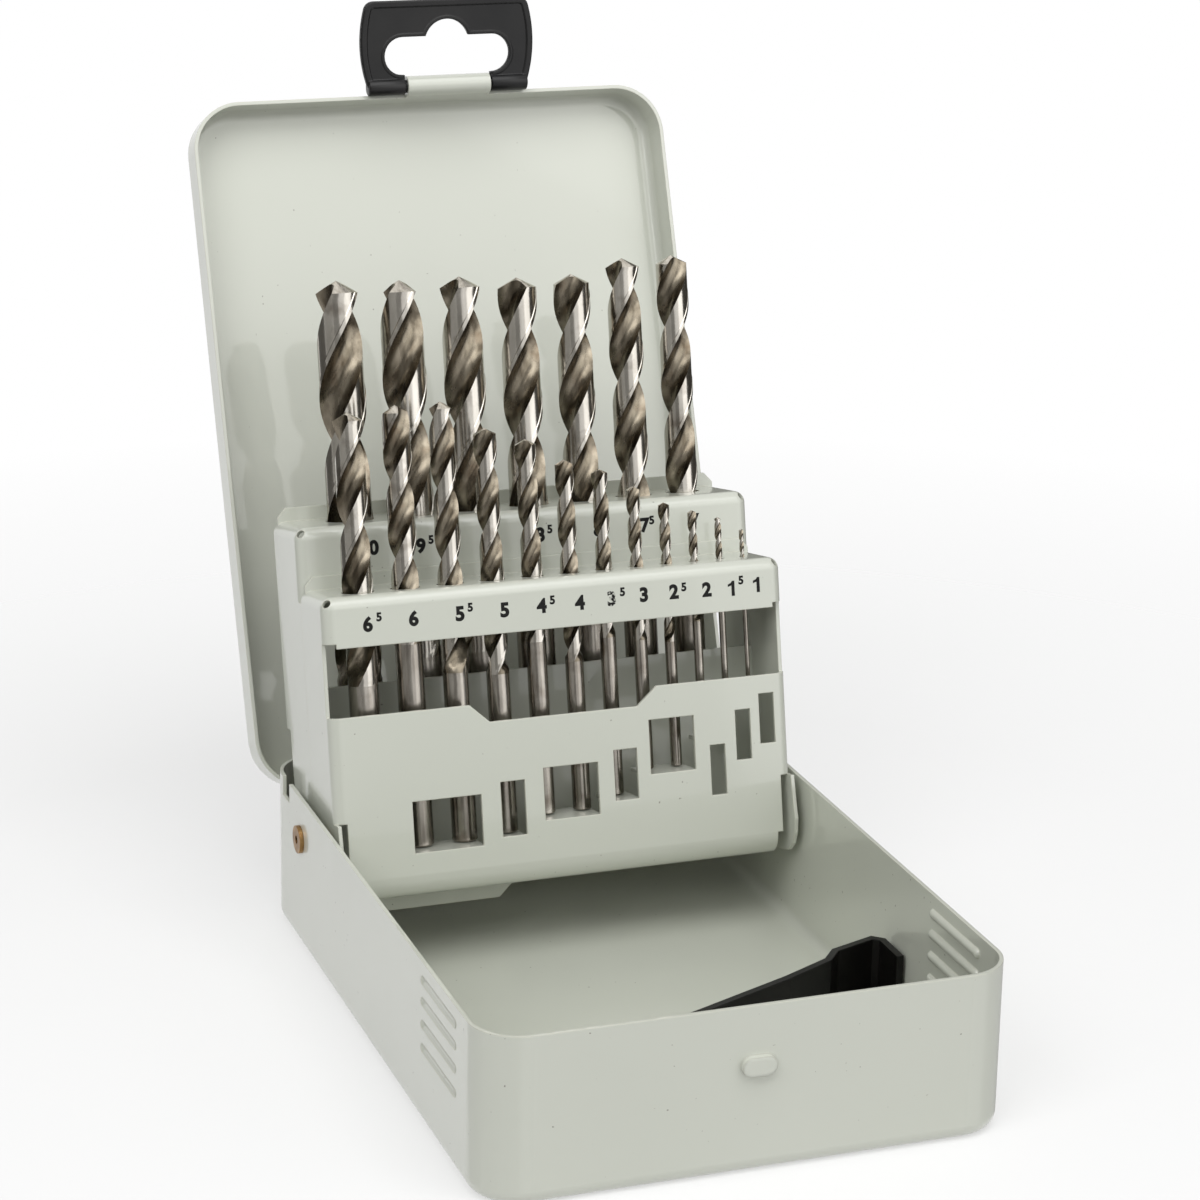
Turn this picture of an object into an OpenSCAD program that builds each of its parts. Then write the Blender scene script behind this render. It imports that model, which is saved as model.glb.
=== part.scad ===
// Hinged sheet-steel case for nineteen twist drills, shown open.
// The rack stands up out of the tray and the lid leans back behind it.
// Sizes are millimetres. X runs across, Y from front to back and Z up.
// The origin is the middle of the underside of the tray.
// The rack has a frame of its own: its Y runs back through the shelves and its Z runs along the drills,
// both measured from the axis of the rivets.

/* [Sheet] */
// Thickness of the painted sheet
sheet = 0.8; // [0.7:0.1:0.9]
// Outer radius of the bend round the tray's floor and the lid's panel
bend_r = 3; // [2.6:0.2:3.4]
// Outer radius of the folded edges of the rack
fold_r = 2.5; // [2:0.25:3]

/* [Tray] */
// Outer width of the tray
tray_w = 107; // [105:0.5:110]
// Outer depth of the tray from front to back
tray_d = 150; // [148:1:156]
// Outer height of the tray
tray_h = 34.4; // [34:0.2:36]
// Outer radius of the tray's upright corners
corner_r = 9.8; // [9:0.2:11]

/* [Lid] */
// Outer height of the lid
lid_h = 9.6; // [9.4:0.1:11]
// Gap between the lid's rim and the tray's front and rear walls
lid_gap = 0.4; // [0.3:0.05:0.5]
// Gap between the lid's rim and the tray's side walls
lid_side_gap = 1; // [0.4:0.1:1.2]
// Angle from the closed lid to the open one
lid_swing = 111.5; // [90:0.5:115]

/* [Rack] */
// Gap between the tray's outer wall and the rack's flank
rack_inset = 2.5; // [2:0.1:3]
// Lean of the standing rack
rack_lean = 12; // [5:0.5:14]
// Height of the rivets above the underside of the tray
rivet_z = 25.2; // [25:0.1:25.3]
// Height of the front shelf above the rivets
front_shelf = 53; // [50:0.5:55]
// Height of the rear shelf above the rivets
rear_shelf = 66.1; // [63:0.5:68]

/* [Hanger] */
// Height of the hanger's plate above its pin
hanger_h = 19.2; // [18:0.4:22]
// Greatest width of the hanger
hanger_w = 40.5; // [38.5:0.5:44]
// Thickness of the hanger's plate
hanger_t = 1.8; // [1.4:0.1:2]
// Lean of the hanger's plate
hanger_lean = 4.5; // [0:0.5:20]

/* [Hidden] */
$fn = 64;

paint = [0.74, 0.76, 0.71];
steel = [0.45, 0.43, 0.40];
plastic = [0.08, 0.08, 0.09];
copper = [0.72, 0.52, 0.38];
cut = 1; // how far a cutting shape runs past the face it cuts

// Running clearances
pin_play = 0.05;
slip = 0.1;
hole_play = 0.2;
rest_gap = 0.2;

// Hinge along the rear wall
pin_r = 1.45;
barrel_in = pin_r + pin_play;
barrel_r = barrel_in + sheet;
hinge_y = tray_d / 2 + lid_gap + sheet - barrel_r;
hinge_z = tray_h - 4.6;
knuckle_gap = 0.3;
hinge_half = 40; // half the length of the pin
knuckle_mid = 9; // half the length of the middle knuckle
knuckle_end = 26; // inner end of the outer knuckles
tray_knuckles = [[-hinge_half, -knuckle_end], [-knuckle_mid, knuckle_mid], [knuckle_end, hinge_half]];
lid_knuckles = [[-knuckle_end + knuckle_gap, -knuckle_mid - knuckle_gap],
    [knuckle_mid + knuckle_gap, knuckle_end - knuckle_gap]];
hinge_cut_z = hinge_z - 3.4;

// Lid, drawn closed and then swung open
rim_overlap = 1;
rim_z = tray_h - rim_overlap;
lid_w = tray_w + 2 * (lid_side_gap + sheet);
lid_d = tray_d + 2 * (lid_gap + sheet);
lid_r = corner_r + lid_gap + sheet;

// Hanger's pin, held by a tongue rolled from the lid's front rim
hanger_x = 4;
hanger_pin_r = 1.42;
curl_in = 1.5;
curl_r = curl_in + sheet;
curl_y = -lid_d / 2 + sheet - curl_r;
curl_z = rim_z - 1.6;
tongue_w = 19.4;
tongue_gap = 0.4;
hanger_bar_r = 1.9;
hanger_bulge_r = 30.5;
hanger_corner_r = 2.3;
hanger_base_w = 37.4;
slot_w = 29.5;
slot_low = 2.6;
slot_high = 11.1;
notch_r = 5.3;
notch_top = 14.8;

// Tray details
bump_x = 0.2;
bump_z = 22.4;
bump_w = 7;
bump_h = 4;
bump_t = 1.3;
rib_r = 1.1;
rib_in = 0.3;
rib_out = 0.7;
rib_ys = [17 - tray_d / 2, 37 - tray_d / 2];
rib_zs = [16.6, 21.5, 26.2, 30.6];
notch_ys = [tray_d / 2 - 16.2, tray_d / 2 - 11];
notch_z = tray_h - 4.4;

// Rivets
rivet_back = 25; // from the tray's rear wall
rivet_y = tray_d / 2 - rivet_back;
rivet_r = 1.6;
rivet_bore_r = 0.9;
rivet_head_r = 3;
rivet_clinch_r = 2.1; // the end spread inside the rack
rivet_head_t = 0.9;
rivet_shoulder_r = 2.6;

// Rack, in its own frame
rack_half = tray_w / 2 - rack_inset;
face_half = rack_half - fold_r;
front_u = -20.7;
crease_u = -3.1;
back_u = 16.5;
band_bottom = front_shelf - 10.6;
band_relief = 1;
rear_band_bottom = front_shelf - 7;
plate_top = 28;
plate_dip = [[-20.7, plate_top], [-16.4, 24.05], [16.5, 24.05], [21.1, plate_top]];
plate_neck = 5.8;
plate_low_r = 5;
plate_bottom = -11.5;
plate_low_half = rack_half - 3.7;
plate_low_back = -8;
rear_plate_top = 32.1;
rear_plate_bottom = -17;
rear_plate_step = [[-11, rear_plate_bottom], [-7.8, -14], [-5, -10]];
lip_h = 3;
lip_inset = 1.8;
relief_r = 0.9;
ear = [[-22.2, plate_neck], [-22.9, 0], [-23.5, -3.6], [-22.9, -6.6], [-21.5, -9.2],
    [-19, -11], [-15.7, plate_bottom]];
heel = [[5, plate_bottom], [9, -8.5], [11.8, 3], [12.6, 21.5], [15.4, 21.5]];

// Drill sizes: diameter, whole length and length of the flutes
bit_d = [for (i = [0:18]) 1 + i / 2];
bit_l = [34, 40, 49, 57, 61, 70, 75, 80, 86, 93, 93, 101, 109, 109, 117, 117, 125, 125, 133];
flute_l = [12, 18, 24, 30, 33, 39, 43, 47, 52, 57, 57, 63, 69, 69, 75, 75, 81, 81, 87];
front_count = 12;
// Height of each drill's lower end above the rivets, from the thinnest drill to the thickest
bit_end = [25, 22, 15, 9.2, 9.2, 4.5, 2.1, 2.1, -0.9, -1.7, -1.7, -10.5,
    9.2, 9.2, -1.5, -1.5, -8.5, -8.5, -15.8];
front_row_u = -13.3;
rear_row_u = 8.2;
// Each row runs from one flank to the other: room left and right of its outermost drills
front_room = [6.45, 5.5];
rear_room = [9.9, 7.4];
point_angle = 118;
helix_pitch = 5.44; // pitch of the flutes, in diameters
flute_step = 30; // turn of the flutes from one slice to the next
shank_ratio = 0.98;
neck_ratio = 0.6;

// Windows in the rack's front plate: thickest drill, thinnest drill, lower edge, and how far the window
// reaches past the left and the right edge of those drills
window_h = 11.7;
low_windows = [[10, 9, -2.7, 0.35, -0.85], [8, 8, -0.6, 0.65, -0.25], [7, 6, 1.4, 0.15, -0.45],
    [5, 5, 3.5, 0.95, 0.85], [4, 3, 9.15, 0.3, 0.4]];
high_windows = [2, 1, 0];
high_window_w = 3.5;
window_side = 0.3;
tab_back = 4.2;
tab_root = 0.4; // how far a tab's bend runs into the sheet on either side of its window
rear_tabs = [[18, 18], [17, 16], [15, 14], [13, 12]];

// Retainer in the right front of the tray, measured from that corner of the tray's outside
retainer_t = 1.5;
retainer_h = 17;
retainer_front = [[-75.5, 23.5], [-53.3, 34.6], [-28, 45.4], [-16.9, 51], [-13.7, 54.8], [-4, 58.3]];
retainer_path = concat(retainer_front, [[-2.3, 56.8], [-2.3, 48]]);
retainer_foot = concat(retainer_front, [[-2.3, 48], [-23.5, 41], [-69.5, 18]]);
foot_t = 1.2;

function total(list, count) = count <= 0 ? 0 : list[count - 1] + total(list, count - 1);
function total_d(first, last) = total(bit_d, last) - total(bit_d, first);
// Middle of drill i in the row of drills first to last - 1: thickest on the left, with even gaps
function row_x(i, first, last, room) =
    let (gap = (2 * rack_half - room[0] - room[1] - total_d(first, last)) / (last - first - 1))
    rack_half - room[1] - total_d(first, i) - gap * (i - first) - bit_d[i] / 2;
function bit_x(i) = i < front_count
    ? row_x(i, 0, front_count, front_room)
    : row_x(i, front_count, len(bit_d), rear_room);
function bit_u(i) = i < front_count ? front_row_u : rear_row_u;
function tab_top(i) = bit_end[i] - rest_gap;

module both_sides() {
    children();
    mirror([1, 0, 0]) children();
}

// Quarter of a bent sheet, seen along the bend
module quarter_ring(r) {
    intersection() {
        difference() {
            circle(r);
            circle(r - sheet);
        }
        square(r + cut);
    }
}

// ---- Shells of tray and lid ----

module pan_profile(reach, height) {
    difference() {
        union() {
            square([reach - bend_r, height]);
            translate([0, bend_r]) square([reach, height - bend_r]);
            translate([reach - bend_r, bend_r]) circle(bend_r);
        }
        translate([-cut, sheet]) square([reach - bend_r + cut, height]);
        translate([-cut, bend_r]) square([reach - sheet + cut, height]);
        translate([reach - bend_r, bend_r]) circle(bend_r - sheet);
    }
}

module pan_side(across, along, height, r) {
    translate([across / 2 - r, along / 2 - r, 0])
        rotate([90, 0, 0])
            linear_extrude(along - 2 * r) pan_profile(r, height);
}

module pan_shell(width, depth, height, r) {
    for (turn = [0, 180]) {
        rotate([0, 0, turn]) pan_side(width, depth, height, r);
        rotate([0, 0, turn + 90]) pan_side(depth, width, height, r);
    }
    for (quarter = [0:3]) {
        side_x = quarter == 0 || quarter == 3 ? 1 : -1;
        side_y = quarter < 2 ? 1 : -1;
        translate([side_x * (width / 2 - r), side_y * (depth / 2 - r), 0])
            rotate([0, 0, quarter * 90])
                rotate_extrude(angle = 90) pan_profile(r, height);
    }
    translate([-width / 2 + r, -depth / 2 + r, 0]) cube([width - 2 * r, depth - 2 * r, sheet]);
}

// ---- Tray ----

module bump() {
    end_x = (bump_w - bump_h) / 2;
    translate([bump_x, -tray_d / 2 - bump_t, bump_z])
        rotate([-90, 0, 0]) {
            for (side = [-1, 1])
                translate([side * end_x, 0, 0]) cylinder(h = bump_t + sheet / 2, r = bump_h / 2);
            translate([-end_x, -bump_h / 2, 0]) cube([2 * end_x, bump_h, bump_t + sheet / 2]);
        }
}

module rib(x, z) {
    translate([x, rib_ys[0], z]) {
        rotate([-90, 0, 0]) cylinder(h = rib_ys[1] - rib_ys[0], r = rib_r);
        sphere(rib_r);
    }
    translate([x, rib_ys[1], z]) sphere(rib_r);
}

module knuckle(ends, r) {
    translate([ends[0], hinge_y, hinge_z]) rotate([0, 90, 0]) cylinder(h = ends[1] - ends[0], r = r);
}

module tray_shell() {
    color(paint) difference() {
        union() {
            difference() {
                pan_shell(tray_w, tray_d, tray_h, corner_r);
                // the rear wall drops to the hinge
                translate([-hinge_half - knuckle_gap, hinge_y - barrel_r, hinge_z])
                    cube([2 * (hinge_half + knuckle_gap), 2 * barrel_r, tray_h]);
                for (ends = lid_knuckles)
                    translate([ends[0] - knuckle_gap, hinge_y - barrel_r - cut, hinge_cut_z])
                        cube([ends[1] - ends[0] + 2 * knuckle_gap, 3 * barrel_r, tray_h]);
            }
            for (ends = tray_knuckles) knuckle(ends, barrel_r);
            bump();
            both_sides() for (z = rib_zs) rib(tray_w / 2 - sheet + rib_in, z);
        }
        for (ends = tray_knuckles) knuckle([ends[0] - cut, ends[1] + cut], pin_r);
        both_sides() {
            for (z = rib_zs) rib(tray_w / 2 + rib_out, z);
            translate([tray_w / 2 - 2 * sheet, notch_ys[0], notch_z])
                cube([3 * sheet, notch_ys[1] - notch_ys[0], tray_h]);
            translate([tray_w / 2 - 2 * sheet, rivet_y, rivet_z])
                rotate([0, 90, 0]) cylinder(h = 3 * sheet, r = rivet_r);
        }
    }
}

module hinge_pin() {
    color(steel) knuckle([-hinge_half, hinge_half], pin_r);
}

// Hollow rivet through the tray's wall and the rack's flank, with a shoulder between them
module rivet() {
    wall_in = tray_w / 2 - sheet;
    flank_out = rack_half + slip;
    flank_in = rack_half - sheet - slip;
    translate([0, rivet_y, rivet_z]) rotate([0, 90, 0]) difference() {
        union() {
            translate([0, 0, flank_in - rivet_head_t])
                cylinder(h = tray_w / 2 - flank_in + rivet_head_t, r = rivet_r);
            translate([0, 0, flank_in - rivet_head_t]) cylinder(h = rivet_head_t, r = rivet_clinch_r);
            translate([0, 0, flank_out]) cylinder(h = wall_in - flank_out, r = rivet_shoulder_r);
            translate([0, 0, tray_w / 2]) cylinder(h = rivet_head_t, r = rivet_head_r);
        }
        translate([0, 0, flank_in - rivet_head_t - cut])
            cylinder(h = tray_w, r = rivet_bore_r);
    }
}

module rivet_right() {
    color(copper) rivet();
}

module rivet_left() {
    color(copper) mirror([1, 0, 0]) rivet();
}

// Point i of a line of points, moved sideways by reach, with mitred corners
function beside(points, i, reach) =
    let (back = points[max(i, 1)] - points[max(i, 1) - 1],
        ahead = points[min(i, len(points) - 2) + 1] - points[min(i, len(points) - 2)],
        before = [-back[1], back[0]] / norm(back),
        after = [-ahead[1], ahead[0]] / norm(ahead))
    points[i] + reach * (before + after) / (1 + before * after);

// Outline of a wall of even thickness along a line of points
function wall_outline(points, thickness) = concat(
    [for (i = [0:len(points) - 1]) beside(points, i, thickness / 2)],
    [for (i = [len(points) - 1:-1:0]) beside(points, i, -thickness / 2)]);

module retainer() {
    color(plastic) translate([tray_w / 2, -tray_d / 2, sheet]) {
        linear_extrude(retainer_h - sheet) polygon(wall_outline(retainer_path, retainer_t));
        linear_extrude(foot_t) polygon(retainer_foot);
    }
}

// ---- Lid ----

// Swings a part that is drawn closed to where it stands on the open case
module swung_open(angle) {
    translate([0, hinge_y, hinge_z])
        rotate([-angle, 0, 0])
            translate([0, -hinge_y, -hinge_z]) children();
}

module lid_shell() {
    color(paint) swung_open(lid_swing) difference() {
        union() {
            translate([0, 0, rim_z + lid_h])
                mirror([0, 0, 1]) pan_shell(lid_w, lid_d, lid_h, lid_r);
            for (ends = lid_knuckles) {
                knuckle(ends, barrel_r);
                translate([ends[0], lid_d / 2 - sheet, hinge_z])
                    cube([ends[1] - ends[0], sheet, rim_z - hinge_z]);
            }
            // tongue rolled round the hanger's pin
            translate([hanger_x - tongue_w / 2, curl_y, curl_z])
                rotate([0, 90, 0]) cylinder(h = tongue_w, r = curl_r);
            translate([hanger_x - tongue_w / 2, -lid_d / 2, curl_z])
                cube([tongue_w, sheet, rim_z - curl_z]);
        }
        for (ends = lid_knuckles) knuckle([ends[0] - cut, ends[1] + cut], barrel_in);
        translate([hanger_x - tongue_w / 2 - cut, curl_y, curl_z])
            rotate([0, 90, 0]) cylinder(h = tongue_w + 2 * cut, r = curl_in);
    }
}

// ---- Hanger, which is also the catch of the closed case ----

module hanger_outline() {
    mid = hanger_h / 2;
    side = hanger_bulge_r - hanger_w / 2;
    intersection() {
        translate([side, mid]) circle(hanger_bulge_r);
        translate([-side, mid]) circle(hanger_bulge_r);
        union() {
            translate([-hanger_w / 2, 0]) square([hanger_w, hanger_h - hanger_corner_r]);
            translate([-hanger_w / 2 + hanger_corner_r, 0])
                square([hanger_w - 2 * hanger_corner_r, hanger_h]);
            for (end = [-1, 1])
                translate([end * (hanger_w / 2 - hanger_corner_r), hanger_h - hanger_corner_r])
                    circle(hanger_corner_r);
        }
    }
}

module hanger_openings() {
    room = tongue_w + 2 * tongue_gap;
    slot_r = (slot_high - slot_low) / 2;
    translate([-slot_w / 2 + slot_r, slot_low]) square([slot_w - 2 * slot_r, 2 * slot_r]);
    for (end = [-1, 1]) translate([end * (slot_w / 2 - slot_r), slot_low + slot_r]) circle(slot_r);
    translate([0, notch_top - notch_r]) circle(notch_r);
    translate([-room / 2, -curl_r]) square([room, slot_low + curl_r + cut]);
}

module hanger() {
    bar_in = tongue_w / 2 + tongue_gap;
    color(plastic) swung_open(lid_swing)
        translate([hanger_x, curl_y, curl_z])
            rotate([lid_swing - hanger_lean, 0, 0]) {
                rotate([90, 0, 0]) translate([0, 0, -hanger_t / 2])
                    linear_extrude(hanger_t) difference() {
                        hanger_outline();
                        hanger_openings();
                    }
                for (side = [-1, 1])
                    translate([side > 0 ? bar_in : -hanger_base_w / 2, 0, 0])
                        rotate([0, 90, 0])
                            cylinder(h = hanger_base_w / 2 - bar_in, r = hanger_bar_r);
                translate([-hanger_base_w / 2, 0, 0])
                    rotate([0, 90, 0]) cylinder(h = hanger_base_w, r = hanger_pin_r);
            }
}

// ---- Rack ----

module rack_place() {
    translate([0, rivet_y, rivet_z]) rotate([-rack_lean, 0, 0]) children();
}

// Flat sheet of the right-hand flank
module flank(outline) {
    translate([rack_half - sheet, 0, 0]) rotate([90, 0, 90]) linear_extrude(sheet) polygon(outline);
}

// Upright sheet that faces the front, drawn as an outline across and up
module upright(u, outline) {
    translate([0, u + sheet, 0]) rotate([90, 0, 0]) linear_extrude(sheet) polygon(outline);
}

// Upright fold between a face and the right-hand flank
module side_fold(u, low, high) {
    translate([face_half, u + fold_r, low])
        linear_extrude(high - low) mirror([0, 1, 0]) quarter_ring(fold_r);
}

// One step: a face folded back into a shelf, with folds down to both flanks
module step_shell(u, back, low, shelf) {
    face_top = shelf - fold_r;
    run = back - u - fold_r;
    translate([-face_half, u, low]) cube([2 * face_half, sheet, face_top - low]);
    translate([-face_half, u + fold_r, shelf - sheet]) cube([2 * face_half, run, sheet]);
    translate([-face_half, u + fold_r, face_top])
        rotate([90, 0, 90])
            linear_extrude(2 * face_half) mirror([1, 0, 0]) quarter_ring(fold_r);
    both_sides() {
        side_fold(u, low + band_relief, face_top);
        translate([face_half, back, face_top])
            rotate([90, 0, 0]) linear_extrude(run) quarter_ring(fold_r);
        difference() {
            translate([face_half, u + fold_r, face_top])
                mirror([0, 1, 0]) rotate_extrude(angle = 90) quarter_ring(fold_r);
            // relief hole where the three folds meet
            translate([face_half, u + fold_r, face_top])
                rotate([0, acos(1 / sqrt(3)), -45]) cylinder(h = 2 * fold_r, r = relief_r);
        }
    }
}

// Low rim bent up behind a shelf
module lip(back, shelf) {
    half = rack_half - lip_inset;
    upright(back - sheet, [[-half - lip_inset / 2, shelf - sheet], [half + lip_inset / 2, shelf - sheet],
        [half + lip_inset / 2, shelf + lip_h / 3], [half - lip_inset / 2, shelf + lip_h],
        [-half + lip_inset / 2, shelf + lip_h], [-half - lip_inset / 2, shelf + lip_h / 3]]);
}

module shelf_holes(first, last) {
    for (i = [first:last])
        translate([bit_x(i), bit_u(i), bit_end[i]])
            cylinder(h = bit_l[i], r = bit_d[i] / 2 + hole_play);
}

// Left and right edges of the window or tab under drills i (left) to j (right)
function span(i, j, left, right) = [bit_x(i) - bit_d[i] / 2 - left, bit_x(j) + bit_d[j] / 2 + right];
function low_span(w) = span(w[0], w[1], w[3], w[4]);
function high_span(i) = span(i, i, window_side, high_window_w - window_side - bit_d[i]);

module window(edges, low) {
    translate([edges[0], front_u - cut, low])
        cube([edges[1] - edges[0], sheet + 2 * cut, window_h]);
}

module tab(edges, u, back, top) {
    translate([edges[0] - tab_root, u, top - sheet])
        cube([edges[1] - edges[0] + 2 * tab_root, back - u, sheet]);
}

module front_plate() {
    low = plate_bottom + plate_low_r;
    difference() {
        upright(front_u, concat([[-face_half, plate_top]], plate_dip,
            [[face_half, plate_top], [face_half, low], [-face_half, low]]));
        for (w = low_windows) window(low_span(w), w[2]);
        for (i = high_windows) window(high_span(i), tab_top(i) - window_h);
    }
    both_sides() side_fold(front_u, plate_neck, plate_top);
    // rounded foot under the thickest front drill
    translate([-plate_low_half, front_u + plate_low_r, low])
        rotate([90, 0, 90]) linear_extrude(2 * plate_low_half)
            rotate(180) quarter_ring(plate_low_r);
    translate([-plate_low_half, front_u + plate_low_r, plate_bottom])
        cube([2 * plate_low_half, plate_low_back - front_u - plate_low_r, sheet]);
    for (w = low_windows) tab(low_span(w), front_u, front_row_u + tab_back, tab_top(w[0]));
    for (i = high_windows) tab(high_span(i), front_u, front_row_u + tab_back, tab_top(i));
}

module rack_front() {
    edge = front_u + fold_r;
    color(paint) rack_place() {
        difference() {
            step_shell(front_u, crease_u, band_bottom, front_shelf);
            shelf_holes(0, front_count - 1);
        }
        lip(crease_u, front_shelf);
        front_plate();
        both_sides() flank(concat([[crease_u, front_shelf - fold_r], [edge, front_shelf - fold_r],
            [edge, plate_neck]], ear, [[crease_u, plate_bottom]]));
    }
}

module rack_rear() {
    plate_half = rack_half - sheet / 2;
    color(paint) rack_place() {
        difference() {
            step_shell(crease_u, back_u, rear_band_bottom, rear_shelf);
            shelf_holes(front_count, len(bit_d) - 1);
        }
        lip(back_u, rear_shelf);
        upright(crease_u, concat([[-plate_half, rear_plate_top],
            [-plate_half, rear_plate_bottom + plate_low_r], [-face_half, rear_plate_bottom]],
            rear_plate_step, [[face_half, rear_plate_step[2][1]],
            [plate_half, plate_bottom + plate_low_r], [plate_half, rear_plate_top]]));
        for (t = rear_tabs)
            tab(span(t[0], t[1], window_side, window_side), crease_u, rear_row_u + tab_back, tab_top(t[0]));
        both_sides() difference() {
            flank(concat([[crease_u, plate_bottom]], heel,
                [[back_u, rear_shelf - fold_r], [crease_u + fold_r, rear_shelf - fold_r],
                [crease_u + fold_r, front_shelf - fold_r], [crease_u, front_shelf - fold_r]]));
            rotate([0, 90, 0]) cylinder(h = tray_w, r = rivet_r + pin_play);
        }
    }
}

// ---- Drills ----

// Section across the flutes of a drill of radius 1: two lands and two hollow flutes
flute_half = [[1, 0], [0.82, 0.57], [0.3, 0.52], [-0.12, 0.3], [-0.56, 0.42]];

module flute_section(r) {
    polygon([for (turn = [1, -1], p = flute_half) turn * r * p]);
}

module drill(i) {
    r = bit_d[i] / 2;
    cone_h = r / tan(point_angle / 2);
    body_l = flute_l[i] - cone_h;
    twist = -360 * body_l / (helix_pitch * bit_d[i]);
    color(steel) rack_place() translate([bit_x(i), bit_u(i), bit_end[i]]) {
        cylinder(h = bit_l[i] - flute_l[i], r = r * shank_ratio);
        translate([0, 0, bit_l[i] - flute_l[i]]) {
            linear_extrude(body_l, twist = twist, slices = ceil(-twist / flute_step),
                segments = 2 * len(flute_half)) flute_section(r);
            translate([0, 0, body_l]) cylinder(h = cone_h, r1 = r * neck_ratio, r2 = 0);
        }
    }
}

tray_shell();
hinge_pin();
rivet_left();
rivet_right();
retainer();
lid_shell();
hanger();
rack_front();
rack_rear();
drill(0);  // drill_1_0
drill(1);  // drill_1_5
drill(2);  // drill_2_0
drill(3);  // drill_2_5
drill(4);  // drill_3_0
drill(5);  // drill_3_5
drill(6);  // drill_4_0
drill(7);  // drill_4_5
drill(8);  // drill_5_0
drill(9);  // drill_5_5
drill(10);  // drill_6_0
drill(11);  // drill_6_5
drill(12);  // drill_7_0
drill(13);  // drill_7_5
drill(14);  // drill_8_0
drill(15);  // drill_8_5
drill(16);  // drill_9_0
drill(17);  // drill_9_5
drill(18);  // drill_10_0
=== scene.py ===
"""Looks of the open drill case: fluted drills, printed sizes, moulded hanger and every finish."""
from math import asin, cos, degrees, pi, radians, sin, sqrt, tan

import bmesh
import bpy
from mathutils import Matrix, Vector


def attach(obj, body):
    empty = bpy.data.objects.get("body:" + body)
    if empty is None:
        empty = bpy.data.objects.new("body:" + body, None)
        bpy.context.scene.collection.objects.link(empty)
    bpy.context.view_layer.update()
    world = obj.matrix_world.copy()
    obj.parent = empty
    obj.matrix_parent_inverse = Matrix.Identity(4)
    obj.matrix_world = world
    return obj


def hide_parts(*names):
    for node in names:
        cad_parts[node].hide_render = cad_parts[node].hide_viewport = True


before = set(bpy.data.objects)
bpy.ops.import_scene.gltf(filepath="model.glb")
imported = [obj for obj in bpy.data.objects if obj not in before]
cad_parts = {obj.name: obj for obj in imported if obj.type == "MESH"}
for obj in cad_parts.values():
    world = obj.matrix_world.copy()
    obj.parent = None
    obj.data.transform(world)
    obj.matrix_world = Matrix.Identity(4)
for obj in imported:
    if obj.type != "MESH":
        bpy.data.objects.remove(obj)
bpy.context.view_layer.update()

MM = 0.001

# The rack's own frame: x across, u back through the shelves, w along the drills, in millimetres
RACK_LEAN = radians(12)
RACK_PIVOT = Vector((0, 50, 25.2))
FRONT_U = -20.7
CREASE_U = -3.1


def rack_point(x, u, w):
    """A point of the rack's frame as a point of the model, in metres."""
    away = Vector((x, u * cos(RACK_LEAN) + w * sin(RACK_LEAN), w * cos(RACK_LEAN) - u * sin(RACK_LEAN)))
    return (RACK_PIVOT + away) * MM


def rack_matrix(x, u, w):
    """Places a mesh made along +Z at a point of the rack's frame."""
    return Matrix.Translation(rack_point(x, u, w)) @ Matrix.Rotation(-RACK_LEAN, 4, "X")


def link_object(name, data):
    made = bpy.data.objects.new(name, data)
    bpy.context.scene.collection.objects.link(made)
    return made


def add_piece(name, mesh, body, *materials):
    """A mesh as a piece that rides on a body."""
    piece = link_object(name, mesh)
    for material in materials:
        mesh.materials.append(material)
    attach(piece, body)
    return piece


def mesh_of(bm, name):
    mesh = bpy.data.meshes.new(name)
    bm.to_mesh(mesh)
    bm.free()
    return mesh


def mesh_of_curve(curve):
    maker = link_object(curve.name, curve)
    bpy.context.view_layer.update()
    mesh = bpy.data.meshes.new_from_object(maker.evaluated_get(bpy.context.evaluated_depsgraph_get()))
    bpy.data.objects.remove(maker)
    return mesh


def mark_sharp(bm, angle):
    """Edges between faces that turn by more than an angle stay sharp under smooth shading."""
    for edge in bm.edges:
        if len(edge.link_faces) == 2 and edge.calc_face_angle(0) > angle:
            edge.smooth = False


# ---------------------------------------------------------------- camera

# Fitted to the corners of tray, lid and rack in the photograph, in its pixels and in millimetres
PHOTO = 1200
SENSOR = 36
FOCAL_PX = 3499.75
CENTRE_PX = (570.58, 548.04)
CAMERA_AT = Vector((-232.93, -618.68, 306.61)) * MM
CAMERA_AZ = radians(-19.686)
CAMERA_EL = radians(17.362)
CAMERA_ROLL = radians(0.935)


def make_camera():
    forward = Vector((-sin(CAMERA_AZ) * cos(CAMERA_EL), cos(CAMERA_AZ) * cos(CAMERA_EL), -sin(CAMERA_EL)))
    level = forward.cross(Vector((0, 0, 1))).normalized()
    upright = level.cross(forward)
    right = cos(CAMERA_ROLL) * level + sin(CAMERA_ROLL) * upright
    up = cos(CAMERA_ROLL) * upright - sin(CAMERA_ROLL) * level
    data = bpy.data.cameras.new("camera")
    data.sensor_fit = "HORIZONTAL"
    data.sensor_width = SENSOR
    data.lens = FOCAL_PX * SENSOR / PHOTO
    data.shift_x = 0.5 - CENTRE_PX[0] / PHOTO
    data.shift_y = CENTRE_PX[1] / PHOTO - 0.5
    camera = link_object("camera", data)
    turn = Matrix((right, up, -forward)).transposed().to_4x4()
    camera.matrix_world = Matrix.Translation(CAMERA_AT) @ turn
    bpy.context.scene.camera = camera


# ---------------------------------------------------------------- materials

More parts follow.
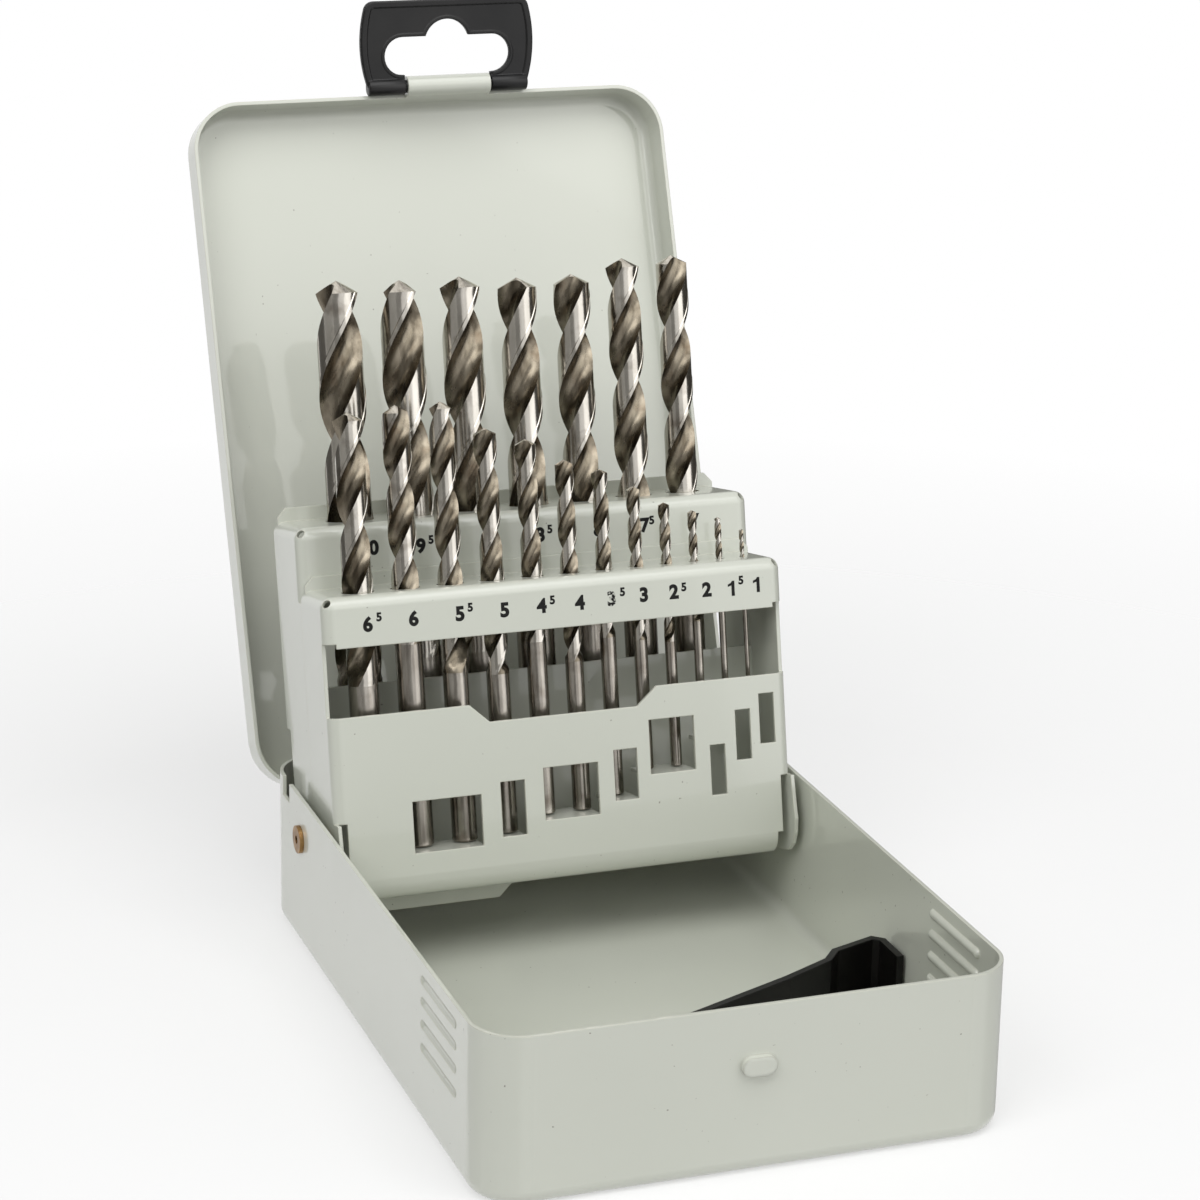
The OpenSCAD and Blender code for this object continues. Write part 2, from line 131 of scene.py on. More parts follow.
class Nodes:
    """A short way to write a material's nodes."""

    def __init__(self, name):
        self.material = bpy.data.materials.new(name)
        self.material.use_nodes = True
        self.tree = self.material.node_tree
        self.shader = self.tree.nodes["Principled BSDF"]

    def add(self, kind, links=None, **settings):
        node = self.tree.nodes.new(kind)
        for key, value in settings.items():
            setattr(node, key, value)
        for key, value in (links or {}).items():
            self.put(node, key, value)
        return node

    def put(self, node, key, value):
        if isinstance(value, bpy.types.NodeSocket):
            self.tree.links.new(value, node.inputs[key])
        else:
            node.inputs[key].default_value = value

    def set(self, **values):
        for key, value in values.items():
            self.put(self.shader, key.replace("_", " "), value)

    def place(self, stretch=(1, 1, 1)):
        where = self.add("ShaderNodeTexCoord").outputs["Object"]
        return self.add("ShaderNodeMapping", {"Vector": where, "Scale": stretch}).outputs["Vector"]

    def noise(self, scale, detail, stretch=(1, 1, 1)):
        links = {"Vector": self.place(stretch), "Scale": scale, "Detail": detail}
        return self.add("ShaderNodeTexNoise", links).outputs["Fac"]

    def ramp(self, value, *stops):
        """Colours between two stops, each a position and a colour."""
        node = self.add("ShaderNodeValToRGB", {"Fac": value})
        elements = node.color_ramp.elements
        for element, (position, colour) in zip(elements, stops):
            element.position = position
            element.color = (*colour, 1)
        return node.outputs["Color"]

    def range(self, value, low, high):
        links = {"Value": value, "To Min": low, "To Max": high}
        return self.add("ShaderNodeMapRange", links).outputs["Result"]

    def mix(self, factor, a, b):
        node = self.add("ShaderNodeMix", data_type="RGBA")
        sockets = [s for s in node.inputs if s.type == "RGBA"]
        self.tree.links.new(factor, node.inputs[0])
        for socket, value in zip(sockets, (a, b)):
            if isinstance(value, bpy.types.NodeSocket):
                self.tree.links.new(value, socket)
            else:
                socket.default_value = (*value, 1)
        return next(s for s in node.outputs if s.type == "RGBA")

    def scaled(self, value, share):
        return self.add("ShaderNodeMath", {0: value, 1: share}, operation="MULTIPLY").outputs[0]

    def rounded(self, radius):
        return self.add("ShaderNodeBevel", {"Radius": radius}, samples=6).outputs["Normal"]

    def soft_radius(self, centre, near, far, at_centre, away):
        """A rounding radius that is larger round one point of the model."""
        where = self.add("ShaderNodeTexCoord").outputs["Object"]
        gap = self.add("ShaderNodeVectorMath", {0: where, 1: centre}, operation="DISTANCE")
        links = {"Value": gap.outputs["Value"], "From Min": near, "From Max": far,
                 "To Min": at_centre, "To Max": away}
        return self.add("ShaderNodeMapRange", links).outputs["Result"]

    def edges(self, radius):
        """1 on a sharp edge and 0 on a flat."""
        soft = self.rounded(radius)
        hard = self.add("ShaderNodeNewGeometry").outputs["Normal"]
        dot = self.add("ShaderNodeVectorMath", {0: soft, 1: hard}, operation="DOT_PRODUCT")
        links = {"Value": dot.outputs["Value"], "From Min": 0.99, "From Max": 0.85}
        return self.add("ShaderNodeMapRange", links).outputs["Result"]

    def bump(self, height, distance, strength, normal=None):
        links = {"Height": height, "Distance": distance, "Strength": strength}
        if normal is not None:
            links["Normal"] = normal
        return self.add("ShaderNodeBump", links).outputs["Normal"]


PAINT = (0.60, 0.62, 0.545)
PAINT_LIGHT = (0.63, 0.648, 0.572)
# A lighter cream painted along the sheet's edges as a painted highlight
PAINT_EDGE_HIGHLIGHT = (0.70, 0.695, 0.575)
DIRT = (0.12, 0.10, 0.07)
# How strongly the edges' painted highlight and the specks cover the paint
EDGE_HIGHLIGHT_SHARE, SPECK_SHARE = 0.55, 0.6
STAIN = (0.12, 0.085, 0.055)
# Widths in metres of the creamy painted highlight along edges and of the rounding that the finishes give
# them
EDGE_HIGHLIGHT_WIDTH = 0.0005
PAINT_ROUND = 0.00035
MOULD_ROUND = 0.0003
# The pressed bump on the tray's front, whose foot runs softly into the sheet: its middle, the distances
# over which the wider rounding ends, and that rounding
CATCH_BUMP = (0.0002, -0.0757, 0.0224)
BUMP_REACH = (0.0075, 0.011)
BUMP_ROUND = 0.0012


def paint_material():
    """Glossy pale grey-green enamel with faint orange peel, a creamy painted highlight along the edges and
    a few fine specks.
    """
    n = Nodes("paint")
    cloud = n.ramp(n.noise(14, 2), (0.3, PAINT), (0.75, PAINT_LIGHT))
    # the edges are painted a lighter cream: a painted highlight along every edge
    edge_highlit = n.mix(n.scaled(n.edges(EDGE_HIGHLIGHT_WIDTH), EDGE_HIGHLIGHT_SHARE), cloud, PAINT_EDGE_HIGHLIGHT)
    speck = n.ramp(n.noise(1300, 0), (0.87, (0, 0, 0)), (0.90, (1, 1, 1)))
    n.set(Base_Color=n.mix(n.scaled(speck, SPECK_SHARE), edge_highlit, DIRT))
    n.set(Roughness=n.range(n.noise(60, 3), 0.28, 0.38), Coat_Weight=0.8, Coat_Roughness=0.05)
    corners = n.rounded(n.soft_radius(CATCH_BUMP, *BUMP_REACH, BUMP_ROUND, PAINT_ROUND))
    wavy = n.bump(n.noise(26, 1), 0.00025, 0.3, corners)
    n.set(Normal=n.bump(n.noise(240, 2), 0.00003, 0.3, wavy))
    return n.material


def steel_material(name, dark, light, rough, streak, stretch, relief):
    """Ground drill steel: streaks along the cut, and small brown stains."""
    n = Nodes(name)
    along = n.noise(streak, 4, stretch)
    tone = n.ramp(along, (0.3, dark), (0.7, light))
    stain = n.ramp(n.noise(170, 3), (0.56, (0, 0, 0)), (0.74, (0.6, 0.6, 0.6)))
    n.set(Base_Color=n.mix(stain, tone, STAIN))
    n.set(Metallic=1.0, Roughness=n.range(along, rough, rough * 1.7))
    n.set(Normal=n.bump(along, 0.00002, relief))
    return n.material


def plastic_material(name, dark, light, rough, gloss):
    """Moulded black plastic, a little cloudy, with a fine grain."""
    n = Nodes(name)
    n.set(Base_Color=n.ramp(n.noise(90, 3), (0.3, dark), (0.8, light)))
    n.set(Roughness=n.range(n.noise(700, 2), rough, rough * 1.45), Specular_IOR_Level=gloss)
    n.set(Normal=n.bump(n.noise(1500, 2), 0.00002, 0.3, n.rounded(MOULD_ROUND)))
    return n.material


def copper_material():
    """Dull coppery plating of the rivets, browned in patches."""
    n = Nodes("copper")
    n.set(Base_Color=n.ramp(n.noise(500, 3), (0.3, (0.19, 0.10, 0.04)), (0.8, (0.47, 0.29, 0.12))))
    n.set(Metallic=1.0, Roughness=n.range(n.noise(900, 2), 0.25, 0.45))
    n.set(Normal=n.rounded(MOULD_ROUND))
    return n.material


def ink_material(name, worn):
    """Matt printed ink, gone in small patches where it is worn."""
    n = Nodes(name)
    n.set(Base_Color=n.ramp(n.noise(900, 2), (0.3, (0.005, 0.005, 0.005)), (0.85, (0.016, 0.016, 0.015))))
    n.set(Roughness=n.range(n.noise(900, 2), 0.4, 0.6), Specular_IOR_Level=0.15)
    if worn:
        n.set(Alpha=n.ramp(n.noise(1700, 2), (0.50, (1, 1, 1)), (0.54, (0.15, 0.15, 0.15))))
    return n.material


# ---------------------------------------------------------------- drills

# Diameter, length, length of the flutes and height of the lower end of each drill, thinnest first, in
# millimetres; the drills stand in two rows, each measured leftwards from its right-hand end
BIT_SIZES = [1 + i / 2 for i in range(19)]
BIT_LENGTH = (34, 40, 49, 57, 61, 70, 75, 80, 86, 93, 93, 101, 109, 109, 117, 117, 125, 125, 133)
FLUTE_LENGTH = (12, 18, 24, 30, 33, 36, 43, 43, 52, 57, 50, 57, 69, 69, 75, 75, 81, 81, 87)
BIT_END = (25, 22, 15, 9.2, 9.2, 4.5, 2.1, 2.1, -0.9, -1.7, -1.7, -10.5,
           9.2, 9.2, -1.5, -1.5, -8.5, -8.5, -15.8)
FRONT_COUNT = 12
FRONT_ROW_U, REAR_ROW_U = -13.3, 8.2
FRONT_GAP, REAR_GAP = 4.0955, 4.2
FRONT_END, REAR_END = 45.5, 43.6
# Length of one turn of the flutes in diameters; the lengths after it are in radii
HELIX_PITCH = 5.44
POINT_HALF = radians(62)
MARGIN_TURN, LAND_TURN = radians(11), radians(76)
LAND_RELIEF = 0.965
# First step of the land behind its margin, as a share of the others
LAND_START = 0.35
# Points that pull the flute's curve inwards between heel and lip
FLUTE_PULLS = Vector((0.08, -0.12)), Vector((-0.42, 0.05))
LAND_STEPS, FLUTE_STEPS = 9, 14
SHANK_R = 0.985
SHANK_CHAMFER = 0.12
# The flutes grow shallower over this length before the shank, by this depth and power
RUN_OUT, RUN_OUT_DEPTH, RUN_OUT_POWER = 2.6, 0.98, 2.2
# The round shank ends this share of the run-out before the flutes start
SHANK_GAP = 0.2
ROWS_PER_TURN, FEWEST_ROWS = 40, 30
SHARP_DRILL = radians(38)
# Material slots of a drill's faces
LAND, FLUTE, POINT, SHANK = range(4)
# Turn of each drill about its own axis, so that its lips stand as they do in the photograph
BIT_TURN = (20, 75, 10, 140, 60, 58, 70, 114, 70, 183, 93, 131, 142, 95, 133, 153, 107, 114, 120)


def bit_x(i):
    """Place of a drill across the rack."""
    first, gap, end = (0, FRONT_GAP, FRONT_END) if i < FRONT_COUNT else (FRONT_COUNT, REAR_GAP, REAR_END)
    return end - sum(BIT_SIZES[first:i]) - gap * (i - first) - BIT_SIZES[i] / 2


def bezier(t, a, b, c, d):
    s = 1 - t
    return a * s ** 3 + 3 * b * s * s * t + 3 * c * s * t * t + d * t ** 3


def half_section():
    """Half of the section of a drill of radius 1: (x, y, part), part 0 on the land and 1 in the flute."""
    points = [(cos(a), -sin(a), 0) for a in (0, MARGIN_TURN / 2, MARGIN_TURN)]
    for k in range(LAND_STEPS + 1):
        a = MARGIN_TURN + (LAND_TURN - MARGIN_TURN) * (k + LAND_START) / (LAND_STEPS + LAND_START)
        points.append((LAND_RELIEF * cos(a), -LAND_RELIEF * sin(a), 0))
    heel = Vector((LAND_RELIEF * cos(LAND_TURN), -LAND_RELIEF * sin(LAND_TURN)))
    lip = Vector((-1, 0))
    for k in range(1, FLUTE_STEPS):
        p = bezier(k / FLUTE_STEPS, heel, *FLUTE_PULLS, lip)
        points.append((p.x, p.y, 1))
    return points


SECTION = half_section() + [(-x, -y, part) for x, y, part in half_section()]


def drill_mesh(i):
    """Shank, fluted body with run-out and cone point, as one closed mesh along +Z, in metres."""
    radius = BIT_SIZES[i] / 2
    length = BIT_LENGTH[i]
    flute_start = length - FLUTE_LENGTH[i]
    run_out = RUN_OUT * radius
    pitch = HELIX_PITCH * BIT_SIZES[i]
    rows = max(FEWEST_ROWS, int(FLUTE_LENGTH[i] / pitch * ROWS_PER_TURN))
    chamfer = SHANK_CHAMFER * radius
    shank_r = radius * SHANK_R
    shank = ((0, radius - chamfer), (chamfer, shank_r), (flute_start - run_out * SHANK_GAP, shank_r))
    bm = bmesh.new()
    # the shank's rings take the corners of the first fluted ring, so that the faces between stay untwisted
    rings = []
    for z, r in shank:
        rings.append([bm.verts.new((r * x / sqrt(x * x + y * y), r * y / sqrt(x * x + y * y), z))
                      for x, y, _ in SECTION])
    for row in range(rows + 1):
        share = row / rows
        ring = []
        for x, y, _ in SECTION:
            reach = sqrt(x * x + y * y)
            top = length - reach * radius / tan(POINT_HALF)
            z = flute_start + share * (top - flute_start)
            rise = max(0.0, run_out - (z - flute_start)) / run_out
            grown = min(reach + RUN_OUT_DEPTH * rise ** RUN_OUT_POWER, max(reach, SHANK_R))
            turn = 2 * pi * (z - flute_start) / pitch
            scale = radius * grown / reach
            ring.append(bm.verts.new((scale * (x * cos(turn) - y * sin(turn)),
                                      scale * (x * sin(turn) + y * cos(turn)), z)))
        rings.append(ring)
    count = len(SECTION)
    for level, (low, high) in enumerate(zip(rings, rings[1:])):
        for k in range(count):
            face = bm.faces.new((low[k], low[(k + 1) % count], high[(k + 1) % count], high[k]))
            in_flute = SECTION[k][2] or SECTION[(k + 1) % count][2]
            face.material_index = SHANK if level < len(shank) else FLUTE if in_flute else LAND
            face.smooth = True
    bm.faces.new(list(reversed(rings[0]))).material_index = SHANK
    tip = bm.verts.new((0, 0, length))
    for k in range(count):
        face = bm.faces.new((rings[-1][k], rings[-1][(k + 1) % count], tip))
        face.material_index = POINT
    bm.normal_update()
    mark_sharp(bm, SHARP_DRILL)
    bmesh.ops.transform(bm, matrix=Matrix.Scale(MM, 4), verts=bm.verts)
    return mesh_of(bm, "drill")


# Name, darkest and lightest tone, roughness, scale and stretch of the streaks, and their relief, in the
# order of a drill's material slots
DRILL_STEELS = (("drill_land", (0.44, 0.415, 0.37), (0.58, 0.55, 0.50), 0.14, 420, (1, 1, 0.12), 0.08),
                ("drill_flute", (0.085, 0.070, 0.050), (0.28, 0.245, 0.19), 0.20, 420, (1, 1, 0.3), 0.25),
                ("drill_point", (0.40, 0.36, 0.30), (0.72, 0.67, 0.58), 0.16, 1100, (1, 0.25, 1), 0.25),
                ("drill_shank", (0.25, 0.225, 0.195), (0.46, 0.43, 0.385), 0.18, 600, (1, 1, 0.06), 0.2))


def make_drills():
    steels = [steel_material(*values) for values in DRILL_STEELS]
    for i, size in enumerate(BIT_SIZES):
        name = "drill_%d_%d" % (int(size), round(size % 1 * 10))
        mesh = drill_mesh(i)
        row = FRONT_ROW_U if i < FRONT_COUNT else REAR_ROW_U
        turn = Matrix.Rotation(radians(BIT_TURN[i]), 4, "Z")
        mesh.transform(rack_matrix(bit_x(i), row, BIT_END[i]) @ turn)
        piece = add_piece(name + "_fluted", mesh, name, *steels)
        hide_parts(name)


# ---------------------------------------------------------------- printed sizes

DIGIT_SIZE = 4.05
RAISED_SIZE = 2.4
# How far the ink stands proud of the sheet
INK_PROUD = 0.04
# Growth of the font's strokes on each side, as a share of the size
BOLD = 0.05
# Added to every height below
PRINT_LIFT = 0.45
# (digits, x, w) of each print, then (x, w) of the small raised fives
LOWER_PRINTS = (("6", -41.6, 46.4), ("6", -31.7, 46.7), ("5", -21.6, 46.8), ("5", -11.8, 46.7),
                ("4", -3.6, 46.8), ("4", 4.9, 46.7), ("3", 12.0, 46.9), ("3", 19.3, 47.1),
                ("2", 26.1, 47.1), ("2", 33.6, 46.9), ("1", 39.3, 46.8), ("1", 45.1, 47.1))
RAISED_PRINTS = ((-39.1, 47.8), (-19.3, 48.0), (-1.2, 47.9), (14.5, 48.2), (28.4, 48.0), (41.5, 48.3))
UPPER_PRINTS = (("10", -35.4, 60.3), ("9", -24.0, 59.8), ("9", -9.5, 60.0), ("8", 2.7, 59.9),
                ("8", 16.0, 60.0), ("7", 26.7, 60.0), ("7", 38.2, 60.0))
UPPER_RAISED = ((-21.7, 61.0), (5.0, 61.0), (28.4, 61.0))
# The three of 3.5 mm has lost part of its ink
WORN_PRINT = 6
# Outline of a one with its flag, one high and about its middle, and its height as a share of the size
ONE = ((-0.02, -0.5), (0.2, -0.5), (0.2, 0.5), (0.03, 0.5),
       (-0.05, 0.37), (-0.27, 0.28), (-0.27, 0.12), (-0.02, 0.2))
ONE_HEIGHT = 0.8


def one_mesh(size):
    """A bold one about the origin."""
    bm = bmesh.new()
    low, high = ([bm.verts.new((x * size * ONE_HEIGHT, y * size * ONE_HEIGHT, z)) for x, y in ONE]
                 for z in (-INK_PROUD, INK_PROUD))
    bm.faces.new(low[::-1])
    bm.faces.new(high)
    for k in range(len(ONE)):
        after = (k + 1) % len(ONE)
        bm.faces.new((low[k], low[after], high[after], high[k]))
    return mesh_of(bm, "digit")


def digit_mesh(text, size):
    """Bold digits about the origin, in millimetres, half of them proud of the sheet."""
    if text == "1":
        return one_mesh(size)
    curve = bpy.data.curves.new("digit", "FONT")
    curve.body = text
    curve.size = size
    curve.align_x = "CENTER"
    curve.align_y = "CENTER"
    curve.bevel_depth = BOLD * size
    curve.bevel_resolution = 1
    curve.resolution_u = 8
    mesh = mesh_of_curve(curve)
    mesh.transform(Matrix.Scale(INK_PROUD / curve.bevel_depth, 4, (0, 0, 1)))
    return mesh


def print_text(text, size, x, u, w, ink, name):
    mesh = digit_mesh(text, size)
    mesh.name = name
    mesh.materials.clear()
    stand = Matrix.Rotation(radians(90), 4, "X")
    mesh.transform(rack_matrix(x, u, w + PRINT_LIFT) @ stand @ Matrix.Scale(MM, 4))
    piece = add_piece(name, mesh, "rack", ink)


def make_prints():
    ink = ink_material("ink", worn=False)
    worn = ink_material("ink_worn", worn=True)
    for k, (text, x, w) in enumerate(LOWER_PRINTS):
        print_text(text, DIGIT_SIZE, x, FRONT_U, w, worn if k == WORN_PRINT else ink, "print_low_%d" % k)
    for k, (x, w) in enumerate(RAISED_PRINTS):
        print_text("5", RAISED_SIZE, x, FRONT_U, w, ink, "print_low_half_%d" % k)
    for k, (text, x, w) in enumerate(UPPER_PRINTS):
        print_text(text, DIGIT_SIZE, x, CREASE_U, w, ink, "print_high_%d" % k)
    for k, (x, w) in enumerate(UPPER_RAISED):
        print_text("5", RAISED_SIZE, x, CREASE_U, w, ink, "print_high_half_%d" % k)


# ---------------------------------------------------------------- hanger

# In millimetres: the middle of its pin, the plate with its bulging sides, the bars at its foot, the room
# for the lid's tongue between them, the slot with its round notch, the borders that stand proud, and the
# edges' roundings
HANGER_AT = Vector((4, 131.322, 170.118))
HANGER_LEAN = radians(4.5)
HANGER_H, HANGER_W, HANGER_T = 19.2, 40.5, 1.8
BULGE_R, HANGER_CORNER = 30.5, 2.3
BASE_W, BAR_R, PIN_R = 37.4, 1.9, 1.42
ROOM = 20.2
SLOT_W, SLOT_LOW, SLOT_HIGH = 29.5, 2.6, 11.1
NOTCH_R, NOTCH_TOP = 5.3, 14.8
RIM_W, RIM_RISE, COLLAR_W = 1.5, 0.25, 0.8
PLATE_EDGE, RIM_EDGE, COLLAR_EDGE, BAR_EDGE, PIN_EDGE = 0.15, 0.3, 0.2, 0.35, 0.1
# How far the pin stops short of the bars' outer ends
PIN_SHORT = 1
# Straight pieces in each curve
SIDE_STEPS, CORNER_STEPS, SLOT_STEPS, NOTCH_STEPS = 18, 6, 16, 14
ROD_SIDES = 40
# Half way round a rod's rounded end, this share of the rounding is left on both faces
ROD_ROUND = 0.3
SHARP_MOULD = radians(30)


def arc(x, y, r, start, end, steps):
    """Points of an arc about (x, y), from one angle in degrees to another."""
    turns = [radians(start + (end - start) * k / steps) for k in range(steps + 1)]
    return [Vector((x + r * cos(a), y + r * sin(a))) for a in turns]


def hanger_side(inset):
    """Right half of the plate's outline from the foot to the top, moved inwards by inset."""
    mid = HANGER_H / 2
    centre = HANGER_W / 2 - BULGE_R
    r = BULGE_R - inset
    corner = HANGER_CORNER - inset
    top = HANGER_H - inset
    # the corner's arc touches the bulging side from within and the level top
    lift = top - corner - mid
    corner_x = centre + sqrt((r - corner) ** 2 - lift ** 2)
    touch = asin(lift / (r - corner))
    foot = asin(mid / r)
    side = arc(centre, mid, r, -degrees(foot), degrees(touch), SIDE_STEPS)
    return side + arc(corner_x, top - corner, corner, degrees(touch), 90, CORNER_STEPS)


def mirrored(points):
    """A right half and its mirror image as one path."""
    return points + [Vector((-p.x, p.y)) for p in reversed(points)]


def hanger_opening(grow):
    """Path round the slot with its notch from the left foot to the right one, grown outwards by grow."""
    half = (SLOT_HIGH - SLOT_LOW) / 2
    mid = SLOT_LOW + half
    notch = NOTCH_R + grow
    notch_y = NOTCH_TOP - NOTCH_R
    start = degrees(asin((mid + half + grow - notch_y) / notch))
    end = arc(SLOT_W / 2 - half, mid, half + grow, -90, 90, SLOT_STEPS)
    right = end + arc(0, notch_y, notch, start, 90, NOTCH_STEPS)
    return list(reversed(mirrored(right)))


def plate_mesh(outline, half_t, bevel):
    """A flat plate with rounded edges, in the hanger's plane: x across, y up."""
    curve = bpy.data.curves.new("plate", "CURVE")
    curve.dimensions = "2D"
    curve.fill_mode = "BOTH"
    curve.extrude = half_t - bevel
    curve.bevel_depth = bevel
    curve.bevel_resolution = 3
    curve.offset = -bevel
    spline = curve.splines.new("POLY")
    spline.points.add(len(outline) - 1)
    for point, at in zip(spline.points, outline):
        point.co = (at.x, at.y, 0, 1)
    spline.use_cyclic_u = True
    return mesh_of_curve(curve)


def rod_mesh(x0, x1, r, bevel):
    """A rod along x with rounded ends."""
    small = bevel * ROD_ROUND
    profile = ((x0, r - bevel), (x0 + small, r - small), (x0 + bevel, r),
               (x1 - bevel, r), (x1 - small, r - small), (x1, r - bevel))
    turns = [2 * pi * k / ROD_SIDES for k in range(ROD_SIDES)]
    bm = bmesh.new()
    rings = [[bm.verts.new((x, ring_r * cos(a), ring_r * sin(a))) for a in turns] for x, ring_r in profile]
    for low, high in zip(rings, rings[1:]):
        for k in range(ROD_SIDES):
            after = (k + 1) % ROD_SIDES
            bm.faces.new((low[k], low[after], high[after], high[k]))
    bm.faces.new(rings[0])
    bm.faces.new(rings[-1])
    bmesh.ops.recalc_face_normals(bm, faces=bm.faces[:])
    return mesh_of(bm, "rod")


def make_hanger(plastic):
    """The moulded hanger: a plate with raised borders, two bars and the pin between them."""
    outer = mirrored(hanger_side(0))
    opening = hanger_opening(0)
    half = ROOM / 2
    left = [Vector((-half, 0)), Vector((-half, SLOT_LOW))]
    right = [Vector((half, SLOT_LOW)), Vector((half, 0))]
    plate = outer + left + opening + right
    rim = outer + list(reversed(mirrored(hanger_side(RIM_W))))
    collar = opening + list(reversed(hanger_opening(COLLAR_W)))
    foot = BASE_W / 2
    pin = foot - PIN_SHORT
    half_t = HANGER_T / 2
    bm = bmesh.new()
    for mesh in (plate_mesh(plate, half_t - RIM_RISE, PLATE_EDGE),
                 plate_mesh(rim, half_t, RIM_EDGE),
                 plate_mesh(collar, half_t - RIM_RISE / 2, COLLAR_EDGE),
                 rod_mesh(half, foot, BAR_R, BAR_EDGE),
                 rod_mesh(-foot, -half, BAR_R, BAR_EDGE),
                 rod_mesh(-pin, pin, PIN_R, PIN_EDGE)):
        bm.from_mesh(mesh)
    for face in bm.faces:
        face.smooth = True
    mark_sharp(bm, SHARP_MOULD)
    mesh = mesh_of(bm, "hanger_moulded")
    stand = Matrix.Rotation(radians(90) - HANGER_LEAN, 4, "X")
    mesh.transform(Matrix.Translation(HANGER_AT * MM) @ stand @ Matrix.Scale(MM, 4))
    piece = add_piece("hanger_moulded", mesh, "hanger", plastic)
    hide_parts("hanger")


# ---------------------------------------------------------------- CAD nodes

# As for the drills' steels, with the streaks along the pin
PIN_STEEL = ("pin_steel", (0.3, 0.29, 0.28), (0.6, 0.59, 0.57), 0.25, 500, (0.05, 1, 1), 0.25)
# Darkest and lightest tone, roughness and gloss of the retainer and of the hanger
BLACK_PLASTIC = ((0.004, 0.004, 0.0035), (0.010, 0.009, 0.008), 0.3, 0.22)
GREY_PLASTIC = ((0.005, 0.005, 0.0055), (0.014, 0.0135, 0.0135), 0.26, 0.3)


def dress_node(node, material):
    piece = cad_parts[node]
    piece.data.materials.clear()
    piece.data.materials.append(material)


def dress_frame():
    paint = paint_material()
    for node in ("tray_shell", "lid_shell", "rack_front", "rack_rear"):
        dress_node(node, paint)
    dress_node("retainer", plastic_material("plastic_black", *BLACK_PLASTIC))
    make_hanger(plastic_material("plastic", *GREY_PLASTIC))
    copper = copper_material()
    for node in ("rivet_left", "rivet_right"):
        dress_node(node, copper)
    dress_node("hinge_pin", steel_material(*PIN_STEEL))


# ---------------------------------------------------------------- studio

# Cards that only gloss sees: name, angle in degrees round from the front, width, lower and upper edge in
# metres, glow
CARDS = (("dark_left", -120, 1.1, -0.6, 1.0, 0.06), ("grey_left", -68, 0.95, -0.6, 1.0, 0.34),
         ("grey_middle", -28, 0.62, -0.6, 0.45, 0.2), ("dark_right", 88, 1.1, -0.6, 0.5, 0),
         ("dark_far_right", 136, 0.95, -0.6, 0.7, 0), ("softbox", 20, 0.85, 0.45, 1.1, 2.1))
CARD_FAR = 1.1
CARD_GREY = (0.10, 0.095, 0.085, 1)
CARD_GLOW = (1, 1, 0.98, 1)
# Lamps: name, place, size and power, all turned to the middle of the case
LAMPS_TO = (0, 0.02, 0.07)
LAMPS = (("key", (-0.8, -0.62, 1.0), (0.8, 0.8), 6.0), ("fill", (0.79, -0.88, 0.5), (0.9, 1.0), 2.6),
         ("top", (0.1, -0.45, 1.25), (0.9, 0.9), 6.3))
AMBIENT = 0.42
FLOOR_REACH = 1.2
FLOOR_PALE = (0.95, 0.95, 0.95, 1)
# Distance from the origin over which the floor fades, and how clear it is already at the near end
FLOOR_FADE = {"From Min": 0.18, "From Max": 0.45, "To Min": 0.5}


def area_light(name, at, size, power):
    data = bpy.data.lights.new(name, "AREA")
    data.shape = "RECTANGLE"
    data.size, data.size_y = size
    data.energy = power
    lamp = link_object(name, data)
    lamp.location = at
    lamp.rotation_euler = (Vector(LAMPS_TO) - Vector(at)).to_track_quat("-Z", "Y").to_euler()


def make_card(name, around, width, low, high, glow):
    """An upright card that only gloss can see, so that ground steel shows bright and dark bands."""
    at = Vector((sin(around), -cos(around), 0)) * CARD_FAR
    across = Vector((cos(around), sin(around), 0)) * width / 2
    mesh = bpy.data.meshes.new(name)
    corners = [at - across, at + across, at + across, at - across]
    mesh.from_pydata([(c.x, c.y, z) for c, z in zip(corners, (low, low, high, high))], [], [(0, 1, 2, 3)])
    card = link_object(name, mesh)
    n = Nodes(name)
    n.set(Base_Color=CARD_GREY, Roughness=1.0, Specular_IOR_Level=0.0)
    n.set(Emission_Color=CARD_GLOW, Emission_Strength=glow)
    mesh.materials.append(n.material)
    for ray in ("camera", "diffuse", "shadow", "transmission", "volume_scatter"):
        setattr(card, "visible_" + ray, False)


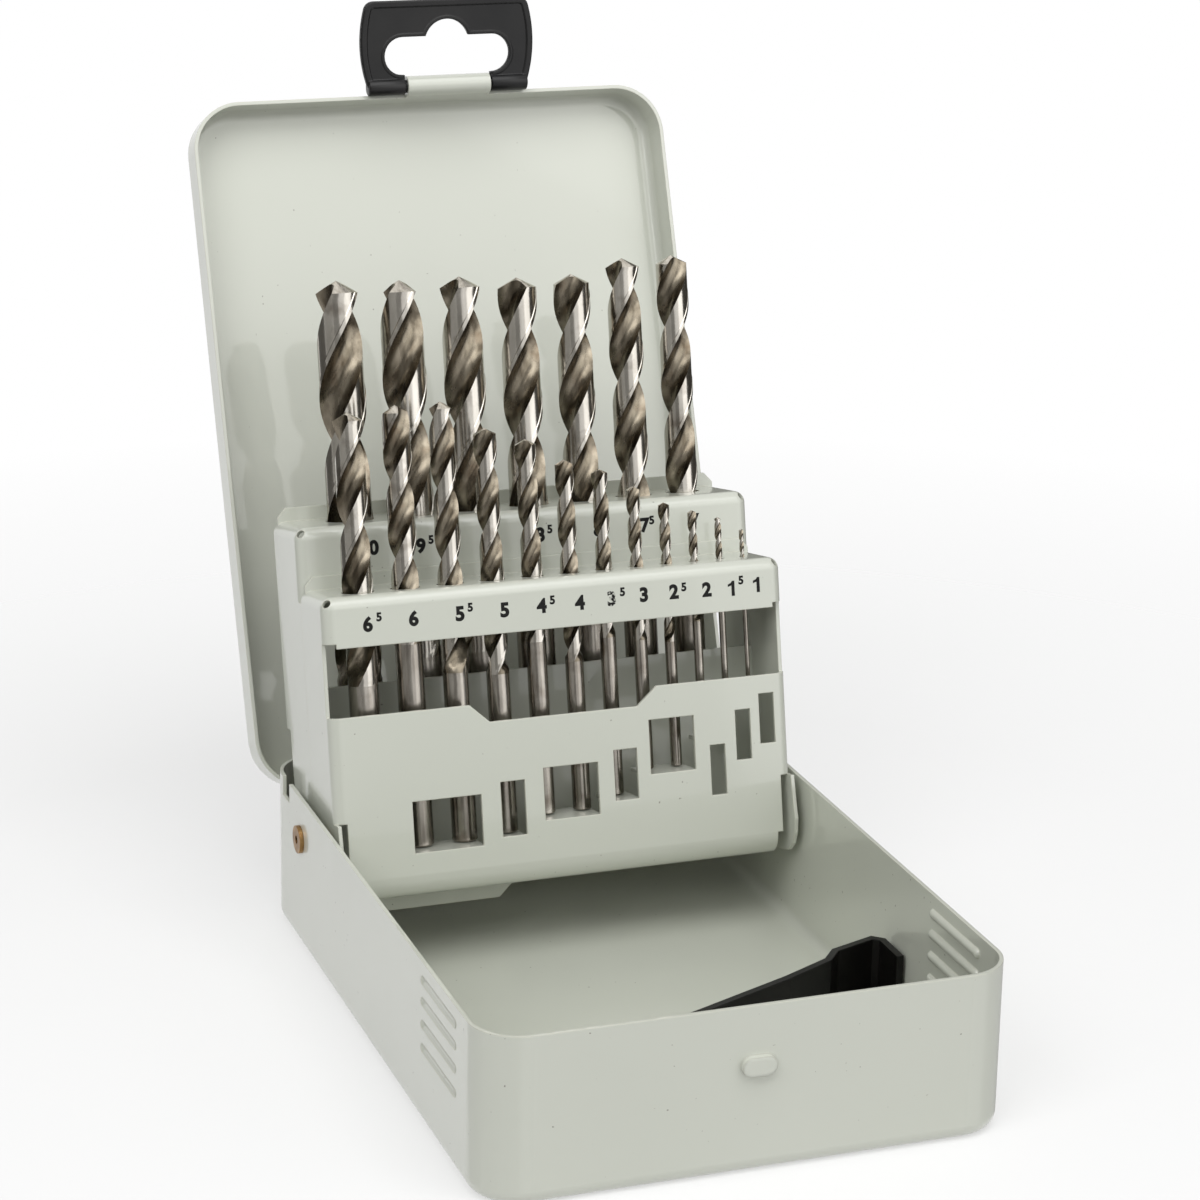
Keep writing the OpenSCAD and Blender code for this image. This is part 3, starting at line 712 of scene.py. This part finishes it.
def make_floor():
    """A pale floor round the case that fades into the white backdrop."""
    mesh = bpy.data.meshes.new("floor")
    corners = [(x * FLOOR_REACH, y * FLOOR_REACH, 0) for x, y in ((-1, -1), (1, -1), (1, 1), (-1, 1))]
    mesh.from_pydata(corners, [], [(0, 1, 2, 3)])
    floor = link_object("floor", mesh)
    n = Nodes("floor")
    n.set(Base_Color=FLOOR_PALE, Roughness=0.9, Specular_IOR_Level=0.1)
    away = n.add("ShaderNodeVectorMath", {0: n.place()}, operation="LENGTH").outputs["Value"]
    share = n.add("ShaderNodeMapRange", {"Value": away, **FLOOR_FADE}).outputs["Result"]
    clear = n.add("ShaderNodeBsdfTransparent").outputs["BSDF"]
    fade = n.add("ShaderNodeMixShader", {0: share, 1: n.shader.outputs["BSDF"], 2: clear})
    n.tree.links.new(fade.outputs["Shader"], n.tree.nodes["Material Output"].inputs["Surface"])
    mesh.materials.append(n.material)


def make_world():
    """White to the camera, gloss and glass, and a soft grey light to everything else."""
    world = bpy.data.worlds.new("studio")
    bpy.context.scene.world = world
    world.use_nodes = True
    tree = world.node_tree
    tree.nodes.clear()
    output = tree.nodes.new("ShaderNodeOutputWorld")
    mixer = tree.nodes.new("ShaderNodeMixShader")
    for socket, strength in ((1, AMBIENT), (2, 1)):
        light = tree.nodes.new("ShaderNodeBackground")
        light.inputs["Color"].default_value = (1, 1, 1, 1)
        light.inputs["Strength"].default_value = strength
        tree.links.new(light.outputs[0], mixer.inputs[socket])
    path = tree.nodes.new("ShaderNodeLightPath")
    seen = path.outputs["Is Camera Ray"]
    for ray in ("Is Glossy Ray", "Is Transmission Ray"):
        either = tree.nodes.new("ShaderNodeMath")
        either.operation = "MAXIMUM"
        tree.links.new(seen, either.inputs[0])
        tree.links.new(path.outputs[ray], either.inputs[1])
        seen = either.outputs[0]
    tree.links.new(seen, mixer.inputs[0])
    tree.links.new(mixer.outputs[0], output.inputs["Surface"])


def make_studio():
    for lamp in LAMPS:
        area_light(*lamp)
    for name, around, *sizes in CARDS:
        make_card(name, radians(around), *sizes)
    make_floor()
    make_world()
    bpy.context.scene.view_settings.view_transform = "Standard"


make_camera()
dress_frame()
make_drills()
make_prints()
make_studio()
